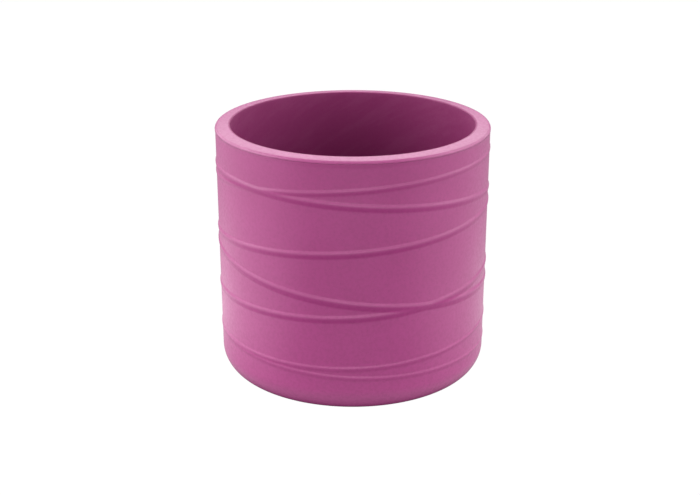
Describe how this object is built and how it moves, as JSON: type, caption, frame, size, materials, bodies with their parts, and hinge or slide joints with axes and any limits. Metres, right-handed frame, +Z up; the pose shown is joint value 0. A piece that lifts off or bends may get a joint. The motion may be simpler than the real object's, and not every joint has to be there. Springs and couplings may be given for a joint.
{
  "type": "plant pot",
  "caption": "Open cylindrical glazed ceramic plant pot with thin crossing ribs round its wall, a thick rounded rim, a rounded base edge, a lift-out drain plug and felt foot pads.",
  "frame": {"origin": "on the pot's axis, in the plane that the foot pads stand on", "axes": "+Z up along the pot's axis and out of its mouth, -Y towards the front of the rib pattern, +X to the right seen from the front"},
  "size_m": [0.1408, 0.1408, 0.1342],
  "materials": {
    "glaze": "satin",
    "silicone": "matte",
    "felt": "matte"
  },
  "bodies": {
    "pot": {"pot_body": "glaze", "foot_pad_front_right": "felt", "foot_pad_back_right": "felt", "foot_pad_back_left": "felt", "foot_pad_front_left": "felt"},
    "plug": {"drain_plug": "silicone"}
  },
  "joints": [
    {"name": "plug_lift", "type": "slide", "parent": "pot", "child": "plug", "axis": [0, 0, 1], "range_m": [0, 0.145]}
  ]
}
